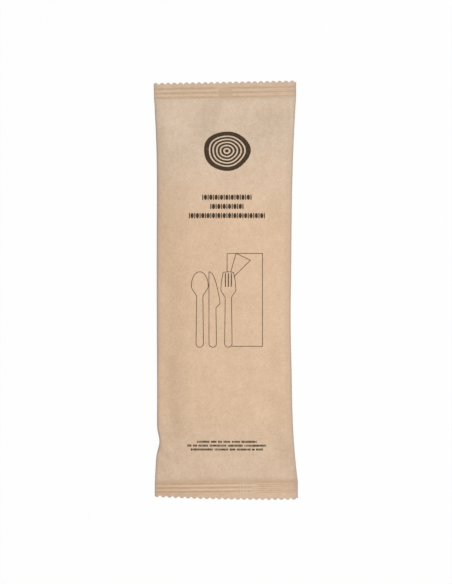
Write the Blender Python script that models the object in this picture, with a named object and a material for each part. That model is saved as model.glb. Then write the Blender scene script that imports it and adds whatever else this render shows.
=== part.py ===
# Sealed kraft-paper cutlery pack: a paper tube, filled, closed by a crimped seal with a
# toothed edge at each end and by one long fin folded flat against its back.
# Metres, +Z up. The pack lies on its back: print up, the print's top towards +Y,
# the origin in the middle of its footprint. It can't be seen into, so it is one solid.

import math
from collections import Counter

import bmesh
import bpy
from mathutils import Vector
from mathutils.geometry import delaunay_2d_cdt

# Pack
PACK_LENGTH = 0.2348  # tooth tip to tooth tip, along the middle
FLAT_WIDTH = 0.0806  # across the pressed-flat tube, which is half its girth
PACK_HEIGHT = 0.0095  # floor to the crown of the front
SIDE_LEVEL = 0.0043  # height of the rounded sides' widest line
SEAL_LEVEL = 0.0032  # height of the end seals' middle plane
SEAL_THICKNESS = 0.00035  # two plies and their coating, pressed together
LEFT_DRAW_IN = 0.0016  # how far the filling pulls each side in from the flat width
RIGHT_DRAW_IN = 0.0037
CROWN_POWER = 4.0  # higher is a flatter front with tighter sides
BELLY_FLAT_SHARE = 0.80  # share of the half width that lies flat on the floor
BELLY_TAPER = 0.030  # the back leaves the floor this far before a seal
TAPER_POWER = 2.5

# Ends: the top seal is the one above the print's title
TOP_TAPER = 0.108  # the front falls to the seal over this length
TOP_SEAL_HEIGHT = 0.0088
TOP_CUT_SLANT = 0.018  # rise of the cut edge per metre across
TOP_SEAL_SLANT = 0.017
TOP_SHIFT = -0.0002  # the seal's middle, off the pack's centre line
BOTTOM_TAPER = 0.060
BOTTOM_SEAL_HEIGHT = 0.0094
BOTTOM_CUT_SLANT = -0.018
BOTTOM_SEAL_SLANT = 0.010
BOTTOM_SHIFT = 0.0008

# Toothed edges and crimp ribs
TOOTH_PITCH = 0.0035
TOOTH_DEPTH = 0.0012
RIB_PITCH = 0.00236
RIB_DEPTH = 0.00018  # mid plane to crest
RIB_MARGIN = 0.0016  # plain strip between the ribs and the roots of the teeth

# Fin along the back
FIN_WIDTH = 0.0110
FIN_PROUD = 0.00030  # where the back is off the floor: on it the fin is pressed level
FIN_EDGE = 0.00030  # width of the step at each edge of the fin
FIN_CREASE = 0.00015  # depth of the crease at its edges where it is pressed level
FIN_TOP_X = -0.0030  # the fin's middle at each end: it runs a little askew
FIN_BOTTOM_X = 0.0080

# Soft forms of the filled paper
PINCH_DEPTH = 0.0016  # dent in the left side
PINCH_FROM_SEAL = 0.0230
PINCH_SPREAD = 0.0056
GATHER_DEPTH = 0.00028  # ripples where the tube flattens into a seal
GATHER_PITCH = 0.0175
GATHER_REACH = 0.0120

# Print
PRINT_X = 0.0011
EMBLEM_FROM_SEAL = 0.0305  # top seal line to the emblem's middle
EMBLEM_WIDTH = 0.0262
EMBLEM_HEIGHT = 0.0222
BARK_WIDTH = 0.0023
GROWTH_RINGS = 4
GROWTH_RING_WIDTH = 0.0010
TITLE_FROM_SEAL = 0.0566  # top seal line to the middle of the first row
TITLE_PITCH = 0.00515
TITLE_HEIGHT = 0.0030
TITLE_UNIT = 0.0030  # one bead and one bar
TITLE_BAR = 0.0006
TITLE_BEAD_GAP = 0.0003  # from a bead to the bars beside it
TITLE_WIDTHS = (0.0270, 0.0180, 0.0420)
LINE_WIDTH = 0.0004
DRAWING_Y = -0.0320  # foot of the drawn cutlery
DRAWING_GAP = 0.0004
CUTLERY_LENGTH = 0.0422
SPOON_WIDTH = 0.0095
KNIFE_WIDTH = 0.0063
FORK_WIDTH = 0.0083
HANDLE_WIDTH = 0.0042
NAPKIN_WIDTH = 0.0198
NAPKIN_LENGTH = 0.0525
NAPKIN_UNDER = 0.0007  # the napkin starts this far left of the fork's middle
FOLD_AT = 0.0050  # the napkin's turned corner: along the top, then its tip across and down
FOLD_REACH = 0.0080
FOLD_DROP = 0.0038
NOTE_FROM_SEAL = 0.0185  # bottom seal line to the middle of the last row
NOTE_PITCH = 0.0022
NOTE_HEIGHT = 0.0007
NOTE_GAP = 0.0009
NOTE_WIDTHS = (0.0400, 0.0440, 0.0324)

# Mesh density
BODY_ROW = 0.0045
HALF_COLUMNS = 12
SEAL_COLUMNS = 12
ROWS_PER_RIB = 4
PRINT_CLEARANCE = 0.0008  # plain mesh points keep this far from the print's outlines

TOP, BOTTOM = 1, -1
LEFT, RIGHT = -1, 1
CUT_SLANT = {TOP: TOP_CUT_SLANT, BOTTOM: BOTTOM_CUT_SLANT}
SEAL_SLANT = {TOP: TOP_SEAL_SLANT, BOTTOM: BOTTOM_SEAL_SLANT}
SEAL_HEIGHT = {TOP: TOP_SEAL_HEIGHT, BOTTOM: BOTTOM_SEAL_HEIGHT}
END_TAPER = {TOP: TOP_TAPER, BOTTOM: BOTTOM_TAPER}
DRAW_IN = {LEFT: LEFT_DRAW_IN, RIGHT: RIGHT_DRAW_IN}


def mix(a, b, share):
    return a + (b - a) * share


def clamp(value):
    return min(max(value, 0.0), 1.0)


# Outline, seen from above

def tip_line(end, x):
    """Where the tips of the teeth lie."""
    return end * PACK_LENGTH / 2 + CUT_SLANT[end] * x


def seal_line(end, x):
    """Where the seal ends and the filled part begins."""
    return end * (PACK_LENGTH / 2 - SEAL_HEIGHT[end]) + SEAL_SLANT[end] * x


def rib_stop(end, x):
    """Where the ribs end, short of the teeth."""
    return tip_line(end, x) - end * (TOOTH_DEPTH + RIB_MARGIN)


def inside(end, x, y):
    """Distance from a seal line towards the middle of the pack."""
    return end * (seal_line(end, x) - y)


def fullness(x, y):
    """0 at both seal lines, 1 where the pack is thickest."""
    full = 1.0
    for end in (TOP, BOTTOM):
        empty = 1.0 - clamp(inside(end, x, y) / END_TAPER[end])
        full *= 1.0 - empty ** TAPER_POWER
    return full


def centre_line(y):
    return mix(BOTTOM_SHIFT, TOP_SHIFT, clamp(0.5 + y / PACK_LENGTH))


def half_width(side, y):
    drawn = DRAW_IN[side] * fullness(0.0, y)
    if side == LEFT:
        away = (inside(BOTTOM, 0.0, y) - PINCH_FROM_SEAL) / PINCH_SPREAD
        drawn += PINCH_DEPTH * math.exp(-(away ** 2))
    return FLAT_WIDTH / 2 - drawn


def edge_x(side, y):
    return centre_line(y) + side * half_width(side, y)


def across(x, y):
    """-1 at the left edge, 0 on the centre line, 1 at the right edge."""
    off = x - centre_line(y)
    return off / half_width(RIGHT if off > 0 else LEFT, y)


# Heights of the front and the back

def rib_count(end):
    return max(round((SEAL_HEIGHT[end] - TOOTH_DEPTH - RIB_MARGIN) / RIB_PITCH), 1)


def crimp(x, y):
    """Ribs that run across each seal, twice as fine on the right as on the left."""
    for end in (TOP, BOTTOM):
        start = seal_line(end, x)
        along = (y - start) / (rib_stop(end, x) - start)
        if 0.0 < along < 1.0:
            turn = 2.0 * math.pi * rib_count(end) * along
            fine = clamp(0.5 + x / FLAT_WIDTH)
            return RIB_DEPTH * mix(math.sin(turn), -math.cos(2.0 * turn), fine)
    return 0.0


def gathers(x, y):
    near = min(inside(TOP, x, y), inside(BOTTOM, x, y))
    if near <= 0.0:
        return 0.0
    ripple = math.cos(2.0 * math.pi * (x - centre_line(y)) / GATHER_PITCH)
    rise = near / GATHER_REACH
    return GATHER_DEPTH * ripple * rise * math.exp(1.0 - rise) * (1.0 - across(x, y) ** 2)


def side_level(x, y):
    return mix(SEAL_LEVEL, SIDE_LEVEL, fullness(x, y))


def front_height(x, y):
    side = side_level(x, y)
    crown = mix(SEAL_LEVEL, PACK_HEIGHT - SEAL_THICKNESS / 2, fullness(x, y))
    dome = math.sqrt(1.0 - min(abs(across(x, y)), 1.0) ** CROWN_POWER)
    return mix(side, crown, dome) + gathers(x, y) + crimp(x, y) + SEAL_THICKNESS / 2


def fin_middle(y):
    return mix(FIN_BOTTOM_X, FIN_TOP_X, clamp(0.5 + y / PACK_LENGTH))


def past_fin(x, y):
    """0 on the fin, 1 beside it, with a narrow step at its edges."""
    return clamp((abs(x - fin_middle(y)) - FIN_WIDTH / 2) / FIN_EDGE)


def back_height(x, y):
    near = min(inside(TOP, x, y), inside(BOTTOM, x, y))
    lift = (1.0 - clamp(near / BELLY_TAPER)) ** 2
    belly = mix(0.0, SEAL_LEVEL - SEAL_THICKNESS / 2, lift)
    side = side_level(x, y) - SEAL_THICKNESS / 2
    bend = clamp((abs(across(x, y)) - BELLY_FLAT_SHARE) / (1.0 - BELLY_FLAT_SHARE))
    panel = mix(side, belly, math.sqrt(1.0 - bend ** 2)) + crimp(x, y)
    past = past_fin(x, y)
    crease = FIN_CREASE * (1.0 - abs(2.0 * past - 1.0)) * (1.0 - clamp(panel / FIN_PROUD))
    return max(panel - FIN_PROUD * (1.0 - past), 0.0) + crease


# Print: each shape is a list of closed loops, inked where an odd number of them overlap

def box_loop(x, y, width, height):
    return [(x + sx * width / 2, y + sy * height / 2) for sx, sy in ((-1, -1), (1, -1), (1, 1), (-1, 1))]


def oval_loop(x, y, width, height):
    angles = [2.0 * math.pi * i / 10 for i in range(10)]
    return [(x + width / 2 * math.sin(a), y - height / 2 * math.cos(a)) for a in angles]


def shifted_path(path, reach, closed):
    """A path moved sideways by reach, with mitred corners."""
    points = [Vector(p) for p in path]
    runs = [(b - a).normalized() for a, b in zip(points, points[1:] + points[:1])]
    if not closed:
        runs[-1] = runs[-2]
    shifted = []
    for i, point in enumerate(points):
        after = runs[i]
        before = after if i == 0 and not closed else runs[i - 1]
        normal = Vector((before.y + after.y, -before.x - after.x)).normalized()
        miter = reach / max(normal.dot(Vector((after.y, -after.x))), 0.5)
        shifted.append(tuple(point + normal * miter))
    return shifted


def stroke(path, closed=True, width=LINE_WIDTH):
    """A line of the given width along a path: two loops if it is closed, one if it is open."""
    outer, inner = (shifted_path(path, reach, closed) for reach in (width / 2, -width / 2))
    return [outer, inner] if closed else [outer + inner[::-1]]


def emblem():
    """A sawn log: bark, growth rings and pith, a little out of round."""
    middle = seal_line(TOP, PRINT_X) - EMBLEM_FROM_SEAL
    outer = EMBLEM_HEIGHT / 2
    radii = [outer, outer - BARK_WIDTH]
    pitch = (outer - BARK_WIDTH) / (GROWTH_RINGS + 1)
    for ring in range(1, GROWTH_RINGS + 1):
        radius = outer - BARK_WIDTH - ring * pitch
        radii += [radius + GROWTH_RING_WIDTH, radius]
    radii.append(pitch / 2)
    loops = []
    for radius in radii:
        count = max(12, round(44 * math.sqrt(radius / outer)))
        loop = []
        for i in range(count):
            angle = 2.0 * math.pi * i / count
            wobble = 1.0 + 0.02 * math.sin(3.0 * angle + 0.6) + 0.012 * math.cos(5.0 * angle)
            stretch = EMBLEM_WIDTH / EMBLEM_HEIGHT
            x = PRINT_X + radius * wobble * stretch * math.cos(angle)
            loop.append((x, middle + radius * wobble * math.sin(angle)))
        loops.append(loop)
    return [loops]


def title():
    """Three rows of bead-and-reel ornament."""
    shapes = []
    first = seal_line(TOP, PRINT_X) - TITLE_FROM_SEAL
    for row, width in enumerate(TITLE_WIDTHS):
        y = first - row * TITLE_PITCH
        units = max(round(width / TITLE_UNIT), 1)
        bead = TITLE_UNIT - TITLE_BAR - 2.0 * TITLE_BEAD_GAP
        for i in range(units + 1):
            x = PRINT_X + (i - units / 2) * TITLE_UNIT
            shapes.append([box_loop(x, y, TITLE_BAR, TITLE_HEIGHT)])
            if i < units:
                shapes.append([oval_loop(x + TITLE_UNIT / 2, y, bead, TITLE_HEIGHT)])
    return shapes


def cutlery_outline(x, left_width, right_width):
    """A closed outline from two width functions of the distance below the tip."""
    steps = 24
    depths = [CUTLERY_LENGTH * (1.0 - math.cos(math.pi * i / steps)) / 2 for i in range(steps + 1)]
    top = DRAWING_Y + CUTLERY_LENGTH
    right = [(x + right_width(depth), top - depth) for depth in depths]
    left = [(x - left_width(depth), top - depth) for depth in depths[-2:0:-1]]
    return left + right


def handle(depth):
    """Half width of a handle: slim at the neck, wider below, with a round foot."""
    foot = HANDLE_WIDTH / 2
    width = mix(0.75 * foot, foot, depth / CUTLERY_LENGTH)
    left_over = CUTLERY_LENGTH - depth
    return width if left_over > foot else math.sqrt(max(foot ** 2 - (foot - left_over) ** 2, 0.0))


def neck(depth, start, length, width):
    """Half width from a head's widest place down to the handle, on a smooth S."""
    share = clamp((depth - start) / length)
    return mix(width / 2, handle(depth), share ** 2 * (3.0 - 2.0 * share))


def spoon_side(depth):
    widest = 0.19 * CUTLERY_LENGTH
    if depth > widest:
        return neck(depth, widest, 0.15 * CUTLERY_LENGTH, SPOON_WIDTH)
    return SPOON_WIDTH / 2 * math.sqrt(1.0 - (1.0 - depth / widest) ** 2)


def fork_side(depth):
    widest = 0.24 * CUTLERY_LENGTH
    if depth > widest:
        return neck(depth, widest, 0.11 * CUTLERY_LENGTH, FORK_WIDTH)
    corner = math.sqrt(clamp(depth / LINE_WIDTH))
    return corner * FORK_WIDTH / 2 * mix(0.68, 1.0, math.sin(math.pi / 2 * depth / widest))


def blade_side(depth):
    """The cutting side: it starts at the spine's tip and ends in a shoulder at the handle."""
    length = 0.42 * CUTLERY_LENGTH
    blade = KNIFE_WIDTH * clamp(depth / length) ** 0.45 - HANDLE_WIDTH / 2
    shoulder = 1.0 - clamp((depth - length) / HANDLE_WIDTH)
    return max(blade * shoulder, handle(depth)) if depth > length / 2 else blade


def spine_side(depth):
    return handle(depth) if CUTLERY_LENGTH - depth < HANDLE_WIDTH / 2 else HANDLE_WIDTH / 2


def fork_slots(x):
    """The three gaps between the fork's tines."""
    slot = 0.18 * CUTLERY_LENGTH
    y = DRAWING_Y + CUTLERY_LENGTH - 2.0 * LINE_WIDTH - slot / 2
    return [[box_loop(x + i * FORK_WIDTH / 5, y, 1.5 * LINE_WIDTH, slot)] for i in (-1, 0, 1)]


def napkin(left, fork_x):
    """A napkin that lies under the fork, with one corner turned over."""
    foot, top = DRAWING_Y + HANDLE_WIDTH / 8, DRAWING_Y + NAPKIN_LENGTH
    right = left + NAPKIN_WIDTH
    tines = DRAWING_Y + CUTLERY_LENGTH
    handle_edge = fork_x + HANDLE_WIDTH * 0.45
    sheet = [(left, tines), (left, top), (right, top), (right, foot), (handle_edge, foot)]
    fold, tip = (left + FOLD_AT, top), (left + FOLD_AT + FOLD_REACH, top - FOLD_DROP)
    depth = 0.06 * CUTLERY_LENGTH
    meets = (fork_x + fork_side(depth), tines - depth)
    behind = (fork_x + FORK_WIDTH / 6, tines)
    return [stroke(sheet, closed=False), stroke([behind, fold, tip, meets], closed=False)]


def drawing():
    """A spoon, a knife and a fork, and a napkin under the fork."""
    gap = DRAWING_GAP
    total = SPOON_WIDTH + KNIFE_WIDTH + FORK_WIDTH / 2 + 2.0 * gap + NAPKIN_WIDTH - NAPKIN_UNDER
    spoon_x = PRINT_X - total / 2 + SPOON_WIDTH / 2
    knife_x = spoon_x + SPOON_WIDTH / 2 + gap + HANDLE_WIDTH / 2
    fork_x = knife_x - HANDLE_WIDTH / 2 + KNIFE_WIDTH + gap + FORK_WIDTH / 2
    return [
        stroke(cutlery_outline(spoon_x, spoon_side, spoon_side)),
        stroke(cutlery_outline(knife_x, spine_side, blade_side)),
        stroke(cutlery_outline(fork_x, fork_side, fork_side)),
        *fork_slots(fork_x),
        *napkin(fork_x - NAPKIN_UNDER, fork_x),
    ]


def notes():
    """Three rows of fine dashes, each row as long as a line of small print."""
    shapes = []
    last = seal_line(BOTTOM, PRINT_X) + NOTE_FROM_SEAL
    for row, width in enumerate(NOTE_WIDTHS):
        x, end = PRINT_X - width / 2, PRINT_X + width / 2
        step = row
        while x < end - 2.0 * NOTE_GAP:
            dash = min(0.0028 + 0.0013 * (step * 2 % 5), end - x)
            shapes.append([box_loop(x + dash / 2, last + row * NOTE_PITCH, dash, NOTE_HEIGHT)])
            x += dash + NOTE_GAP
            step += 1
    return shapes


# Triangulated panels

def row_lines():
    """The mesh rows from bottom to top, each as a function of x."""
    lines = []
    for end in (BOTTOM, TOP):
        count = rib_count(end) * ROWS_PER_RIB
        crimped = [
            lambda x, end=end, i=i, count=count: mix(rib_stop(end, x), seal_line(end, x), i / count)
            for i in range(count + 1)
        ]
        lines.append(crimped if end == BOTTOM else crimped[::-1])
    count = max(round((PACK_LENGTH - TOP_SEAL_HEIGHT - BOTTOM_SEAL_HEIGHT) / BODY_ROW), 4)
    body = [
        lambda x, i=i: mix(seal_line(BOTTOM, x), seal_line(TOP, x), i / count)
        for i in range(1, count)
    ]
    return lines[0], body, lines[1]


def side_point(line, side):
    """Where a row meets a side: the edge moves with y, so the place is found by steps."""
    y = line(0.0)
    for _ in range(6):
        y = line(edge_x(side, y))
    return edge_x(side, y), y


def toothed_edge(end):
    """Roots and tips along one cut end, from left to right, corners included."""
    y = tip_line(end, 0.0)
    left, right = edge_x(LEFT, y), edge_x(RIGHT, y)
    teeth = max(round((right - left) / TOOTH_PITCH), 3)
    points = []
    for i in range(2 * teeth + 1):
        x = mix(left, right, i / (2 * teeth))
        points.append((x, tip_line(end, x) - (end * TOOTH_DEPTH if i % 2 == 0 else 0.0)))
    return points


def outline(rows):
    """The whole pack's edge, anticlockwise from the bottom left corner."""
    right = [side_point(line, RIGHT) for line in rows]
    left = [side_point(line, LEFT) for line in rows]
    return toothed_edge(BOTTOM) + right + toothed_edge(TOP)[::-1] + left[::-1]


def clear_of(point, segments):
    for start, run, length_squared in segments:
        share = clamp((point - start).dot(run) / length_squared)
        if (point - start - run * share).length < PRINT_CLEARANCE:
            return False
    return True


def row_points(line, shares, columns):
    """One row's points inside the outline, from left to right."""
    y = line(0.0)
    places = list(columns)
    for share in shares:
        x = centre_line(y) + share * half_width(RIGHT if share > 0 else LEFT, y)
        if all(abs(x - column) > 2.0 * FIN_EDGE for column in columns):
            places.append(x)
    return [(x, line(x)) for x in sorted(places)]


def body_points(body, columns_at):
    """Mesh points of the filled part, close together at the rounded sides."""
    shares = [
        math.sin(math.pi / 2 * i / HALF_COLUMNS) for i in range(1 - HALF_COLUMNS, HALF_COLUMNS)
    ]
    return [p for line in body for p in row_points(line, shares, columns_at(line(0.0)))]


def seal_chains(lines, columns_at):
    """The rows of a seal, edge to edge, that keep its ribs straight."""
    shares = [mix(-1.0, 1.0, i / SEAL_COLUMNS) for i in range(1, SEAL_COLUMNS)]
    chains = []
    for line in lines:
        inner = row_points(line, shares, columns_at(line(0.0)))
        chains.append([side_point(line, LEFT), *inner, side_point(line, RIGHT)])
    return chains


def no_columns(y):
    """The front has no fin."""
    return []


def fin_columns(y):
    """The lines that make the steps and creases at the fin's edges."""
    middle, steps = fin_middle(y), (0.0, FIN_EDGE / 2, FIN_EDGE)
    return [middle + side * (FIN_WIDTH / 2 + step) for side in (LEFT, RIGHT) for step in steps]


def triangulate(edge, points, chains, shapes):
    """Triangles that fill the edge, with the chains and the shapes' loops as mesh edges."""
    scale = 1000.0
    coords = list(edge)
    links = []
    for chain in chains:
        first = len(coords)
        links += [(first + i, first + i + 1) for i in range(len(chain) - 1)]
        coords += chain
    faces = [list(range(len(edge)))]
    owner = {}
    for number, loops in enumerate(shapes):
        for loop in loops:
            owner[len(faces)] = number
            faces.append(list(range(len(coords), len(coords) + len(loop))))
            coords += loop
    coords += points
    flat = [Vector((x * scale, y * scale)) for x, y in coords]
    verts, _, triangles, sources, _, origins = delaunay_2d_cdt(flat, links, faces, 1, 1e-4)
    place = {old: new for new, olds in enumerate(sources) for old in olds}
    inked = []
    for origin in origins:
        hits = Counter(owner[face] for face in origin if face in owner)
        inked.append(any(count % 2 for count in hits.values()))
    flat = [(v.x / scale, v.y / scale) for v in verts]
    return flat, triangles, inked, [place[i] for i in range(len(edge))]


def fill_panel(mesh, panel, height, faces_up):
    """Lifts one triangulated panel to its height and returns its edge vertices."""
    flat, triangles, inked, edge = panel
    verts = [mesh.verts.new((x, y, height(x, y))) for x, y in flat]
    for corners, ink in zip(triangles, inked):
        order = corners if faces_up else corners[::-1]
        face = mesh.faces.new([verts[i] for i in order])
        face.material_index = 1 if ink else 0
    return [verts[i] for i in edge]


def join_edges(mesh, front, back):
    """The thin wall between the two panels, all the way round."""
    for i in range(len(front)):
        j = (i + 1) % len(front)
        mesh.faces.new((back[i], back[j], front[j], front[i]))


def centre_on_origin(mesh):
    """Moves the footprint's middle to the origin and its lowest point to the floor."""
    lows = [min(v.co[i] for v in mesh.verts) for i in range(3)]
    highs = [max(v.co[i] for v in mesh.verts) for i in range(3)]
    shift = Vector((-(lows[0] + highs[0]) / 2, -(lows[1] + highs[1]) / 2, -lows[2]))
    bmesh.ops.translate(mesh, verts=mesh.verts, vec=shift)


def surface(name, colour, roughness):
    material = bpy.data.materials.new(name)
    material.use_nodes = True
    shader = material.node_tree.nodes["Principled BSDF"]
    shader.inputs["Base Color"].default_value = (*colour, 1.0)
    shader.inputs["Roughness"].default_value = roughness
    shader.inputs["Metallic"].default_value = 0.0
    return material


def build_pack():
    bottom, body, top = row_lines()
    edge = outline(bottom + body + top)
    shapes = emblem() + title() + drawing() + notes()
    segments = []
    for loops in shapes:
        for loop in loops:
            for start, end in zip(loop, loop[1:] + loop[:1]):
                run = Vector(end) - Vector(start)
                segments.append((Vector(start), run, max(run.length_squared, 1e-12)))
    front_points = [p for p in body_points(body, no_columns) if clear_of(Vector(p), segments)]
    front_panel = triangulate(edge, front_points, seal_chains(bottom + top, no_columns), shapes)
    back_chains = seal_chains(bottom + top, fin_columns)
    back_panel = triangulate(edge, body_points(body, fin_columns), back_chains, [])

    mesh = bmesh.new()
    front = fill_panel(mesh, front_panel, front_height, True)
    back = fill_panel(mesh, back_panel, back_height, False)
    join_edges(mesh, front, back)
    centre_on_origin(mesh)

    data = bpy.data.meshes.new("cutlery_pack")
    mesh.to_mesh(data)
    mesh.free()
    data.materials.append(surface("kraft_paper", (0.68, 0.50, 0.36), 0.85))
    data.materials.append(surface("brown_ink", (0.05, 0.032, 0.02), 0.7))
    data.shade_smooth()
    data.set_sharp_from_angle(angle=math.radians(35.0))
    pack = bpy.data.objects.new("cutlery_pack", data)
    bpy.context.scene.collection.objects.link(pack)


def main():
    for old in list(bpy.data.objects):
        bpy.data.objects.remove(old, do_unlink=True)
    build_pack()


main()
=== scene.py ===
import math

import bpy
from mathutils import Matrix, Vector


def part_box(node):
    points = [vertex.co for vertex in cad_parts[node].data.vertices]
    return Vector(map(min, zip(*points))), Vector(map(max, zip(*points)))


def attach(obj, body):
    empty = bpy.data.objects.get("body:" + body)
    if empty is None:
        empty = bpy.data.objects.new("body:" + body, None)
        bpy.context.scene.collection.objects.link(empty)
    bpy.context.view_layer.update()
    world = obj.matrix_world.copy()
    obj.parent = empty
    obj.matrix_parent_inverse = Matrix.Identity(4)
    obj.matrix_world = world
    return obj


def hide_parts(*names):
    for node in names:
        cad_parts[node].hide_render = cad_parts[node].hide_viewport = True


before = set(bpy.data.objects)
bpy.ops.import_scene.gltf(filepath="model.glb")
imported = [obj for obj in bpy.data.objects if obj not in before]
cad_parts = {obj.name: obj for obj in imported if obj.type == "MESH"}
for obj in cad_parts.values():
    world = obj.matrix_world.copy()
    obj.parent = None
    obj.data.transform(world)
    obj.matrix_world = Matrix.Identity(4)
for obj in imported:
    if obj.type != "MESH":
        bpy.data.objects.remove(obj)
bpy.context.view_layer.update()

packLow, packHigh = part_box("cutlery_pack")

# metres throughout; the print's top is towards +Y and the print faces +Z


# node trees written as arithmetic

class Wire:  # one output socket, with the operators that the expressions below use
    def __init__(self, tree, socket):
        self.tree = tree
        self.socket = socket

    def math(self, operation, *others):
        return self.tree.mathNode(operation, self, *others)

    def __add__(self, other):
        return self.math("ADD", other)

    def __sub__(self, other):
        return self.math("SUBTRACT", other)

    def __rsub__(self, other):
        return self.tree.mathNode("SUBTRACT", other, self)

    def __mul__(self, other):
        return self.math("MULTIPLY", other)

    def __truediv__(self, other):
        return self.math("DIVIDE", other)

    def __rtruediv__(self, other):
        return self.tree.mathNode("DIVIDE", other, self)

    def __pow__(self, other):
        return self.math("POWER", other)

    def __neg__(self):
        return self.math("MULTIPLY", -1.0)

    def __abs__(self):
        return self.math("ABSOLUTE")

    __radd__ = __add__
    __rmul__ = __mul__


class Tree:  # a node tree and the one method that adds a node to it
    def __init__(self, nodeTree):
        self.nodeTree = nodeTree
        self.inputNode = None

    def node(self, kind, settings=None, values=None, out=0):
        made = self.nodeTree.nodes.new(kind)
        for name, setting in (settings or {}).items():
            setattr(made, name, setting)
        for name, value in (values or {}).items():
            if isinstance(value, Wire):
                value = [value]
            if isinstance(value, list):  # a Join Geometry takes several links
                for wire in value:
                    self.nodeTree.links.new(wire.socket, made.inputs[name])
            else:
                made.inputs[name].default_value = value
        if isinstance(out, tuple):
            return tuple(Wire(self, made.outputs[name]) for name in out)
        return Wire(self, made.outputs[out]) if made.outputs else made

    def mathNode(self, operation, *values):
        return self.node("ShaderNodeMath", {"operation": operation}, dict(enumerate(values)))

    def vector(self, x, y, z=0.0):
        return self.node("ShaderNodeCombineXYZ", None, {"X": x, "Y": y, "Z": z})

    def split(self, vector):
        return self.node("ShaderNodeSeparateXYZ", None, {"Vector": vector}, ("X", "Y", "Z"))

    def ramp(self, value, low, high, smooth=False):  # 0 at low, 1 at high, flat outside
        kind = "SMOOTHSTEP" if smooth else "LINEAR"
        return self.node("ShaderNodeMapRange", {"interpolation_type": kind},
                         {"Value": value, "From Min": low, "From Max": high})

    def noise(self, vector, scale, detail=2.0, seed=0.0, roughness=0.5):  # about -0.25 to 0.25
        return self.node("ShaderNodeTexNoise", {"noise_dimensions": "4D"},
                         {"Vector": vector, "W": seed, "Scale": scale, "Detail": detail,
                          "Roughness": roughness}) - 0.5

    def attribute(self, name):
        return self.node("ShaderNodeAttribute", {"attribute_name": name}, out="Fac")

    def input(self, name, value, kind="NodeSocketFloat"):  # a named input of a modifier's tree
        socket = self.nodeTree.interface.new_socket(name=name, in_out="INPUT", socket_type=kind)
        if value is not None:
            socket.default_value = value
        if self.inputNode is None:
            self.inputNode = self.nodeTree.nodes.new("NodeGroupInput")
        return Wire(self, self.inputNode.outputs[name])

    def inputs(self, values):  # entries with a capital letter become inputs, the others stay in Python
        kinds = {int: "NodeSocketInt", float: "NodeSocketFloat"}
        return {name: self.input(name, value, kinds[type(value)])
                for name, value in values.items() if name[0].isupper()}

    def shapePaper(self, block, fields, place):  # stores what the paper's finish reads, then bends the block
        for name, value in fields.items():
            block = self.node("GeometryNodeStoreNamedAttribute", {"data_type": "FLOAT"},
                              {"Geometry": block, "Name": name, "Value": value})
        bent = self.node("GeometryNodeSetPosition", None, {"Geometry": block, "Position": place})
        return self.node("GeometryNodeSetShadeSmooth", None, {"Geometry": bent})

    def finishGeometry(self, geometry, material):
        realized = self.node("GeometryNodeRealizeInstances", None, {"Geometry": geometry})
        painted = self.node("GeometryNodeSetMaterial", None, {"Geometry": realized, "Material": material})
        self.nodeTree.interface.new_socket(
            name="Geometry", in_out="OUTPUT", socket_type="NodeSocketGeometry")
        self.node("NodeGroupOutput", None, {"Geometry": painted})


def mix(a, b, share):
    return a + (b - a) * share


def geometryTree(name):
    return Tree(bpy.data.node_groups.new(name, "GeometryNodeTree"))


def applyTree(obj, tree, values):  # runs the tree on obj once and keeps the plain mesh
    modifier = obj.modifiers.new("shape", "NODES")
    modifier.node_group = tree.nodeTree
    for item in tree.nodeTree.interface.items_tree:
        if item.in_out == "INPUT" and item.name in values:
            modifier[item.identifier] = values[item.name]
    graph = bpy.context.evaluated_depsgraph_get()
    graph.update()
    mesh = bpy.data.meshes.new_from_object(
        obj.evaluated_get(graph), preserve_all_data_layers=True, depsgraph=graph)
    mesh.name = obj.name
    plain = bpy.data.objects.new("plain_" + obj.name, mesh)
    name = obj.name
    bpy.data.objects.remove(obj)
    plain.name = name
    bpy.context.scene.collection.objects.link(plain)
    return plain


def newObject(name, data):
    obj = bpy.data.objects.new(name, data)
    bpy.context.scene.collection.objects.link(obj)
    return obj


# finishes

paper = {
    "darkColour": (0.590, 0.400, 0.257),  # the two ends of its natural variation
    "paleColour": (0.840, 0.606, 0.419),
    "fleckColour": (0.36, 0.22, 0.12),
    "sealColour": (0.625, 0.430, 0.283),  # pressed flat by the sealing jaws
    "pressedAndShadeColour": (0.45, 0.295, 0.185),  # dark pressed paper in the seals; also the painted shade in the bottom of a crimp line and along the bottom seal line
    "edgeShadeColour": (0.50, 0.385, 0.30),  # painted shade with some wear, at the folded sides, the teeth and the fin's edges
    "hazeDark": (0.530, 0.425, 0.322),  # greyer towards the ends, where the tube was creased flat
    "hazePale": (0.790, 0.665, 0.538),
    "blotches": 0.40,  # how far each texture darkens or lightens the paper, from coarse to fine
    "clouds": 0.45,
    "mottle": 0.85,
    "grain": 0.80,
    "streaks": 0.12,
    "fibres": 0.20,
    # painted light and shade from the patches further down
    "lightAndShadeStrength": 0.30,
    "flecks": 0.30,
    "topHaze": (0.025, 0.090, 0.55),  # how far from the middle it starts and is whole, and its strength
    "bottomHaze": (0.060, 0.100, 0.30),
    "seals": 0.55,
    "bottomLeftDarkening": 0.40,  # added to the seals' strength at the bottom left, so that they are darker there
    "spared": 0.25,  # taken off it at the bottom right, next to the teeth
    "paleWear": 0.40,  # in the seals only
    "darkWear": 0.25,
    "lines": 0.58,  # painted shade in the crimp lines: coarse, then fine in the top and the bottom seal
    "topFineLines": 0.48,
    "bottomFineLines": 0.78,
    "crestHighlights": 0.30,  # painted highlights on the paper between them: at the left and the top, then in the rest
    "bottomCrestHighlights": 0.70,
    # painted shade along the bottom seal line, and the dark patch at the top
    "lipShadeAndPatchStrength": 0.42,
    # painted shade at the folded sides and the teeth, with some wear
    "edges": 0.80,
    "creases": 0.35,
    "roughness": 0.80,
    "fibreHeight": 0.00003,
}

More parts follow.
